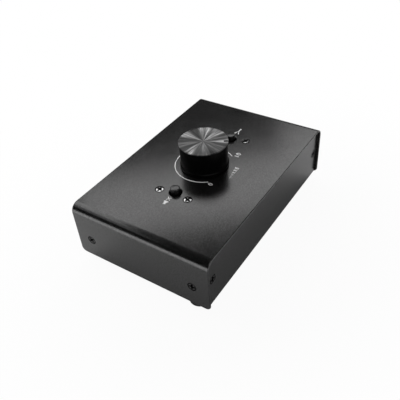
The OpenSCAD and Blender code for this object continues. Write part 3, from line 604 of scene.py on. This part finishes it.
def cross_cutter(top):
    """Tapered cross recess from the crown's height downwards."""
    reach = CROSS_L / 2
    half = CROSS_W / 2
    arm = [(reach, -half), (reach, half), (half, half)]
    outline = []
    for c, s in ((1, 0), (0, 1), (-1, 0), (0, -1)):
        outline += [(c * x - s * y, s * x + c * y) for x, y in arm]
    grow = 1 + (1 - CROSS_TAPER) * CROSS_OVER / CROSS_DEPTH
    bm = bmesh.new()
    prism(bm, [(x * CROSS_TAPER, y * CROSS_TAPER, top - CROSS_DEPTH) for x, y in outline],
          [(x * grow, y * grow, top + CROSS_OVER) for x, y in outline])
    mesh = finished(bm, "cross")
    # The recess's cut walls take the near-black painted shade
    mesh.materials.append(MATERIALS["painted_recess_shade"])
    return mesh


def screw_tip(low):
    """Corners of a screw's tip, from the axis to the shank."""
    return [(0, low, 0), (SCREW_R - TIP_BEVEL, low, 0), (SCREW_R, low + TIP_BEVEL, 0)]


def sunk_screw(slot, length, rise):
    """Countersunk screw with its head up; the sheet's face is at height 0."""
    corners = screw_tip(-length - HEAD_SINK) + [
        (SCREW_R, SCREW_R - SHADE_CUP_R - SHADE_CUP_DEPTH, 0), (SHADE_CUP_R, -SHADE_CUP_DEPTH, 0), (SHADE_CUP_R - SHADE_CUP_WALL, -SHADE_CUP_DEPTH, 0),
        (GROOVE_R, -GROOVE_DEPTH, 0), (RIM_R, -HEAD_SINK, 0)]
    crown = rise - HEAD_SINK
    profile = rounded(corners)[:-1] + dome(RIM_R, rise, crown)
    mesh = cut(lathe("sunk_screw", profile, SCREW_SEGMENTS), cross_cutter(crown), slot)
    # Upward faces round the head, in the groove and the cup, take the near-black painted shadow
    for face in mesh.polygons:
        outside = math.hypot(face.center.x, face.center.y) > RIM_R * MM
        if outside and face.normal.z > 0:
            face.material_index = PAINTED_SHADE_INDEX
    return mesh


def pan_screw(slot, length):
    """Pan-head screw with its head up; its seat is at height 0."""
    corners = screw_tip(-length) + [
        (SCREW_R, 0, 0), (PAN_HEAD_R, 0, PAN_ROUNDING), (PAN_HEAD_R, PAN_HEAD_H - PAN_RISE, 0)]
    profile = rounded(corners)[:-1] + dome(PAN_HEAD_R, PAN_RISE, PAN_HEAD_H)
    return cut(lathe("pan_screw", profile, SCREW_SEGMENTS), cross_cutter(PAN_HEAD_H), slot)


# Cross recesses are left at odd angles, as a screwdriver leaves them
CROSS_STEP = 37
TOP_TURNS = (-14, -9, 60, 111)
# The front right one of the top screws sits slightly askew in its countersink
ASKEW = (1, -1)
LEAN_ANGLE = 3
LEAN_AXIS = Vector((-0.78, 0.62, 0))
TOP_SCREW_X = 35.6
TOP_SCREW_Y = 10.5
END_SCREW_Y = 37.8
END_SCREW_Z = 19.7
PANEL_SCREW_X = 68
PANEL_SCREW_Z = 24.9
# Places of a connector's two screws from its middle
PLATE_SCREW_X = 9.5
PLATE_SCREW_Z = 12


def crossed(index):
    """Turn of the recess in one screw of a group."""
    return spin(CROSS_STEP * index)


def top_turn(corner, degrees):
    """Turn of a top screw, with the lean of the one that sits askew."""
    if corner == ASKEW:
        return spin(LEAN_ANGLE, LEAN_AXIS) @ spin(degrees)
    return spin(degrees)


def add_screws(name, screw, slot, node, places):
    """Adds one piece with a screw at each place, which stands for a CAD node."""
    add_piece(name, copies(name, screw, places), slot, "case", node)


bright = sunk_screw("bright_screw", SHORT_SCREW_L, BRIGHT_RISE)
black = sunk_screw("black_screw", SHORT_SCREW_L, BLACK_RISE)
long_black = sunk_screw("black_screw", CONNECTOR_SCREW_L, BLACK_RISE)
add_screws("top_face_screws", bright, "bright_screw", "switch_screws",
           [at(TOP_SCREW_X * sx, TOP_SCREW_Y * sy, TOP_FACE, top_turn((sx, sy), degrees))
            for (sx, sy), degrees in zip(CORNERS, TOP_TURNS)])
add_screws("end_face_screws", black, "black_screw", "end_screws",
           [at(CASE_HALF_W * sx, END_SCREW_Y * sy, END_SCREW_Z, spin(90 * sx, "Y") @ crossed(i))
            for i, (sx, sy) in enumerate(CORNERS)])
add_screws("panel_face_screws", black, "black_screw", "panel_screws",
           [at(PANEL_SCREW_X * sx, PANEL_Y * sy, PANEL_SCREW_Z, spin(-90 * sy, "X") @ crossed(i))
            for i, (sx, sy) in enumerate(CORNERS)])
connector_places = []
for i, shell in enumerate(SHELLS):
    x, _, z = middle_mm(shell)
    for side in SIDES:
        connector_places.append(at(x + PLATE_SCREW_X * side, PLATE_Y, z - PLATE_SCREW_Z * side,
                                   spin(-90, "X") @ crossed(i + side)))
add_screws("plate_screws", long_black, "black_screw", "connector_screws", connector_places)


# Knob. Heights on its body and on its cap are from their undersides

KNOB_Z = box_mm("knob_body")[0][2]
KNOB_R, _, CAP_Z = box_mm("knob_body")[1]
BODY_H = round(CAP_Z - KNOB_Z, 3)
CAP_H = round(box_mm("knob_cap")[1][2] - CAP_Z, 3)
KNOB_SIDE_R = 15.45
KNOB_INNER_R = 13.25
SKIRT_H = 1.5
SKIRT_TOP = 2.0
HUB_R = 5.5
HUB_Z = 4.5
ROOF_Z = 14.2
SHAFT_HOLE_R = 3.03
GRUB_HOLE_R = 1.55
GRUB_HOLE_L = 30
GRUB_SEGMENTS = 40
BODY_SEGMENTS = 160
INDEX_ANGLE = -63
CAP_SEGMENTS = 192
# The cap's face lies a little below its lip, and one ring of points splits it
FACE_Z = 0.72
LIP_W = 0.7
LIP_FOOT_W = 0.85
FACE_RING_R = 8
NOTCH_L = 3.0
NOTCH_W = 1.7
# How far cutters reach past what they cut
CUT_OVER = 1


def knob_body():
    """Hollow body with a skirt, a hub for the shaft and the grub screw's hole."""
    profile = rounded([
        (0, ROOF_Z, 0), (SHAFT_HOLE_R, ROOF_Z, 0), (SHAFT_HOLE_R, HUB_Z, 0.2), (HUB_R, HUB_Z, 0.2),
        (HUB_R, ROOF_Z, 0.3), (KNOB_INNER_R, ROOF_Z, 0.3), (KNOB_INNER_R, 0, 0.15), (KNOB_R, 0, 0.35),
        (KNOB_R, SKIRT_H, 0.12), (KNOB_SIDE_R, SKIRT_TOP, 0.12), (KNOB_SIDE_R, BODY_H, 0.15),
        (0, BODY_H, 0)])
    mesh = lathe("knob_body", profile, BODY_SEGMENTS)
    hole = lathe("hole", [(0, 0), (GRUB_HOLE_R, 0), (GRUB_HOLE_R, GRUB_HOLE_L), (0, GRUB_HOLE_L)],
                 GRUB_SEGMENTS)
    hole.transform(at(0, 0, (HUB_Z + ROOF_Z) / 2, spin(INDEX_ANGLE + 180) @ spin(90, "Y")))
    mesh = cut(mesh, hole, "knob_black")
    mesh.transform(at(0, 0, KNOB_Z))
    return mesh


def knob_cap():
    """Turned metal cap with a fine lip round its face and the index notch."""
    profile = rounded([
        (0, 0, 0), (KNOB_R, 0, 0.08), (KNOB_R, CAP_H, 0.22), (KNOB_R - LIP_W, CAP_H, 0.05),
        (KNOB_R - LIP_FOOT_W, FACE_Z, 0.05), (FACE_RING_R, FACE_Z, 0), (0, FACE_Z, 0)], steps=4)
    mesh = lathe("knob_cap", profile, CAP_SEGMENTS)
    notch = box_mesh((KNOB_R - NOTCH_L, -NOTCH_W / 2, -CUT_OVER),
                     (KNOB_R + CUT_OVER, NOTCH_W / 2, CAP_H + CUT_OVER))
    notch.transform(spin(INDEX_ANGLE))
    notch.materials.append(MATERIALS["knob_black"])
    mesh = cut(mesh, notch, "knob_metal")
    mesh.transform(at(0, 0, CAP_Z))
    return mesh


add_piece("dial_body", knob_body(), "knob_black", "dial", "knob_body")
add_piece("dial_cap", knob_cap(), "knob_metal", "dial", "knob_cap")


# Buttons

BUTTONS = ("mute", "mono")
CROWN_INSET = 0.7
CROWN_RISE = 0.14
EDGE_DROP = 0.25
EDGE_ROUNDING = 0.55
BASE_ROUNDING = 0.15
BORE_HALF = 1.63
BUTTON_ROOF = 1.7
BUTTON_SEGMENTS = 80


def button(node):
    """Cap with a crowned top and a square bore, in the place of a CAD node."""
    low, high = box_mm(node)
    radius = round((high[0] - low[0]) / 2, 3)
    height = round(high[2] - low[2], 3)
    corners = [(0, 0, 0), (radius, 0, BASE_ROUNDING), (radius, height - EDGE_DROP, EDGE_ROUNDING),
               (radius - CROWN_INSET, height - CROWN_RISE, 0)]
    profile = rounded(corners, steps=8)[:-1] + dome(radius - CROWN_INSET, CROWN_RISE, height)
    bore = box_mesh((-BORE_HALF, -BORE_HALF, -CUT_OVER), (BORE_HALF, BORE_HALF, height - BUTTON_ROOF))
    mesh = cut(lathe("button", profile, BUTTON_SEGMENTS), bore, "button_black")
    mesh.transform(at(middle_mm(node)[0], 0, low[2]))
    return mesh


for body in BUTTONS:
    add_piece(body + "_cap", button(body + "_button"), "button_black", body, body + "_button")


# Return springs of the buttons, at rest, each with a mesh of its own

WIRE_R = 0.2 * MM
SPRING_TURNS = 4
TURN_STEPS = 36
WIRE_SIDES = 12


def coil(name, low, high):
    """Spring wound about the vertical between two corners in metres, with its wire's ends closed."""
    centre = (low + high) / 2
    radius = (high.x - low.x) / 2 - WIRE_R
    start = low.z + WIRE_R
    rise = high.z - low.z - 2 * WIRE_R
    count = SPRING_TURNS * TURN_STEPS
    up = Vector((0, 0, 1))
    sides = [2 * math.pi * j / WIRE_SIDES for j in range(WIRE_SIDES)]
    bm = bmesh.new()
    rings = []
    for k in range(count + 1):
        turn = 2 * math.pi * k / TURN_STEPS
        out = Vector((math.cos(turn), math.sin(turn), 0))
        middle = Vector((centre.x, centre.y, start + rise * k / count)) + radius * out
        rings.append([bm.verts.new(middle + WIRE_R * (math.cos(b) * out + math.sin(b) * up)) for b in sides])
    for here, there in zip(rings, rings[1:]):
        for j in range(WIRE_SIDES):
            i = (j + 1) % WIRE_SIDES
            bm.faces.new((here[j], here[i], there[i], there[j]))
    bm.faces.new(rings[0][::-1])
    bm.faces.new(rings[-1])
    bmesh.ops.recalc_face_normals(bm, faces=bm.faces)
    return finished(bm, name)


for body in BUTTONS:
    low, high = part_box(body + "_spring")
    name = body + "_coil"
    spring = add_piece(name, coil(name, low, high), "zinc_steel", "case", body + "_spring")
    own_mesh(spring)


# Feet

FEET = ("front_left", "front_right", "rear_left", "rear_right")
# Steps by which the recesses of their screws are turned
FOOT_STEPS = (0, 2, 1, 3)
FOOT_LOW, FOOT_HIGH = box_mm("front_left_foot")
FOOT_H = FOOT_HIGH[2]
FOOT_R = round((FOOT_HIGH[0] - FOOT_LOW[0]) / 2, 3)
FOOT_EDGE_R = 6.6
FOOT_EDGE_Z = 0.4
FOOT_SOLE_R = 6.2
FOOT_RECESS_R = 3.6
FOOT_RECESS_H = 2.6
FOOT_HOLE_R = 1.7
FOOT_SEGMENTS = 72
FOOT_SCREW_L = 6.0


def foot_place(foot, z):
    """Place on a foot's axis, at a height."""
    x, y, _ = middle_mm(foot + "_foot")
    return at(x, y, z)


def foot_mesh():
    """Tapered rubber foot with a recess for its screw's head."""
    profile = rounded([
        (FOOT_RECESS_R, 0, 0.25), (FOOT_SOLE_R, 0, 0.2), (FOOT_EDGE_R, FOOT_EDGE_Z, 0.3),
        (FOOT_R, FOOT_H, 0.2), (FOOT_HOLE_R, FOOT_H, 0.1), (FOOT_HOLE_R, FOOT_RECESS_H, 0.1),
        (FOOT_RECESS_R, FOOT_RECESS_H, 0.15)])
    return lathe("foot", profile, FOOT_SEGMENTS, closed=True)


rubber = foot_mesh()
for foot in FEET:
    name = foot + "_pad"
    add_piece(name, copies(name, rubber, [foot_place(foot, 0)]), "foot_rubber", "case", foot + "_foot")
add_screws("foot_fixings", pan_screw("zinc_steel", FOOT_SCREW_L), "zinc_steel", "foot_screws",
           [foot_place(foot, FOOT_RECESS_H) @ spin(180, "X") @ crossed(step)
            for foot, step in zip(FEET, FOOT_STEPS)])


# White print on the top face

PRINT_T = 0.02
ARC_R = 19.5
ARC_W = 0.52
ARC_ENDS = (-36, 219)
ARC_STEPS = 64
LOW_PLACE = (-16.4, -14.8)
LOW_H = 3.0
HIGH_PLACE = (18.4, -14.4)
HIGH_H = 3.4
# Height of figures against the font's size, how much their lines are widened on each side, and their spacing
FIGURE_SHARE = 0.7
BOLD = 0.05
SPACING = 1.15


def add_print(name, mesh):
    """Puts a mesh in the scene as print on the case."""
    mesh.materials.append(MATERIALS["print_white"])
    piece = bpy.data.objects.new(name, mesh)
    scene.collection.objects.link(piece)
    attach(piece, "case")


def flat_print(name, outlines):
    """Print made of flat outlines of (x, y) points on the top face."""
    bm = bmesh.new()
    for outline in outlines:
        prism(bm, [(x, y, TOP_FACE) for x, y in outline], [(x, y, TOP_FACE + PRINT_T) for x, y in outline])
    add_print(name, finished(bm, name))


def number_print(name, text, place, height):
    """Plain figures on the top face, centred on a point."""
    data = bpy.data.curves.new(name, "FONT")
    data.body = text
    data.size = height * MM / FIGURE_SHARE
    data.space_character = SPACING
    data.align_x = "CENTER"
    data.align_y = "CENTER"
    data.extrude = PRINT_T * MM / 2
    data.offset = BOLD * MM
    figures = bpy.data.objects.new("figures", data)
    scene.collection.objects.link(figures)
    mesh = evaluated_mesh(figures)
    bpy.data.objects.remove(figures)
    mesh.transform(at(*place, TOP_FACE + PRINT_T / 2))
    mesh.materials.clear()
    add_print(name, mesh)


def arc_points(radius):
    """Points round the dial, from one end of its arc to the other."""
    start, end = ARC_ENDS
    turns = [math.radians(start + (end - start) * k / ARC_STEPS) for k in range(ARC_STEPS + 1)]
    return [(radius * math.cos(a), radius * math.sin(a)) for a in turns]


def moved(outline, place):
    """The outline, set at a place."""
    return [(x + place[0], y + place[1]) for x, y in outline]


flat_print("dial_arc", [arc_points(ARC_R + ARC_W / 2) + arc_points(ARC_R - ARC_W / 2)[::-1]])
number_print("dial_low", "0", LOW_PLACE, LOW_H)
number_print("dial_high", "10", HIGH_PLACE, HIGH_H)

# Rising bars before the dial
BAR_COUNT = 5
BAR_W = 1.5
BAR_PITCH = 2.4
BAR_X = -4.8
BAR_Y = -22.4
BAR_LEAST = 0.8
BAR_STEP = 0.5


def bar(k):
    """Outline of one bar, counted from the left."""
    left = BAR_X + BAR_PITCH * k
    top = BAR_Y + BAR_LEAST + BAR_STEP * k
    return [(left, BAR_Y), (left + BAR_W, BAR_Y), (left + BAR_W, top), (left, top)]


flat_print("level_bars", [bar(k) for k in range(BAR_COUNT)])

# Loudspeaker with a cross beside the left button
SPEAKER = [(-3.4, -0.75), (-2.2, -0.75), (-0.4, -1.8), (-0.4, 1.8), (-2.2, 0.75), (-3.4, 0.75)]
SPEAKER_PLACE = (-42.4, 0)
SILENT = [(0.25, 0), (1.45, 1.2), (1.2, 1.45), (0, 0.25), (-1.2, 1.45), (-1.45, 1.2),
          (-0.25, 0), (-1.45, -1.2), (-1.2, -1.45), (0, -0.25), (1.2, -1.45), (1.45, -1.2)]
SILENT_PLACE = (-40.4, 0)
flat_print("mute_sign", [moved(SPEAKER, SPEAKER_PLACE), moved(SILENT, SILENT_PLACE)])

# Two lines that run into one beside the right button
STEM = [(0, -0.3), (3.6, -0.3), (3.6, 0.3), (0, 0.3)]
UPPER = [(0, 0), (0, 0.3), (-3.1, 1.75), (-3.4, 1.2)]
LOWER = [(0, -0.3), (0, 0), (-3.4, -1.2), (-3.1, -1.75)]
MERGE_PLACE = (43.8, -0.5)
flat_print("mono_sign", [moved(line, MERGE_PLACE) for line in (STEM, UPPER, LOWER)])


# Softened edges on the solids

WELD_GAP = 0.002 * MM
FLAT_ANGLE = math.radians(0.5)
# At this weight the largest faces set the normals at their edges
NORMAL_WEIGHT = 100
COVER_EDGE = 0.57 * MM
TRAY_EDGE = 0.10 * MM
SHELL_EDGE = 0.15 * MM


def shade_smooth_group():
    """Geometry nodes that shade a mesh smoothly."""
    group = bpy.data.node_groups.new("shade_smooth", "GeometryNodeTree")
    for way in ("INPUT", "OUTPUT"):
        group.interface.new_socket("Geometry", in_out=way, socket_type="NodeSocketGeometry")
    start = group.nodes.new("NodeGroupInput")
    smooth = group.nodes.new("GeometryNodeSetShadeSmooth")
    end = group.nodes.new("NodeGroupOutput")
    group.links.new(start.outputs[0], smooth.inputs["Geometry"])
    group.links.new(smooth.outputs[0], end.inputs[0])
    return group


SMOOTH = shade_smooth_group()


def soften(obj, width, segments=3, angle=28, clamp=True):
    """Rounds a solid's edges that are sharper than the angle by width metres, and shades it smoothly."""
    weld = obj.modifiers.new("weld", "WELD")
    weld.merge_threshold = WELD_GAP
    flat = obj.modifiers.new("flat", "DECIMATE")
    flat.decimate_type = "DISSOLVE"
    flat.angle_limit = FLAT_ANGLE
    bevel = obj.modifiers.new("bevel", "BEVEL")
    bevel.width = width
    bevel.segments = segments
    bevel.limit_method = "ANGLE"
    bevel.angle_limit = math.radians(angle)
    bevel.miter_outer = "MITER_ARC"
    bevel.use_clamp_overlap = clamp
    close = obj.modifiers.new("close", "WELD")
    close.merge_threshold = WELD_GAP
    smooth = obj.modifiers.new("smooth", "NODES")
    smooth.node_group = SMOOTH
    weigh = obj.modifiers.new("weigh", "WEIGHTED_NORMAL")
    weigh.weight = NORMAL_WEIGHT
    weigh.keep_sharp = False


# The cover's square edges get their full rounding, which its small holes would otherwise hold down
soften(nodes["top_cover"], COVER_EDGE, segments=4, angle=60, clamp=False)
soften(nodes["base_tray"], TRAY_EDGE)
for shell in SHELLS:
    soften(nodes[shell], SHELL_EDGE)
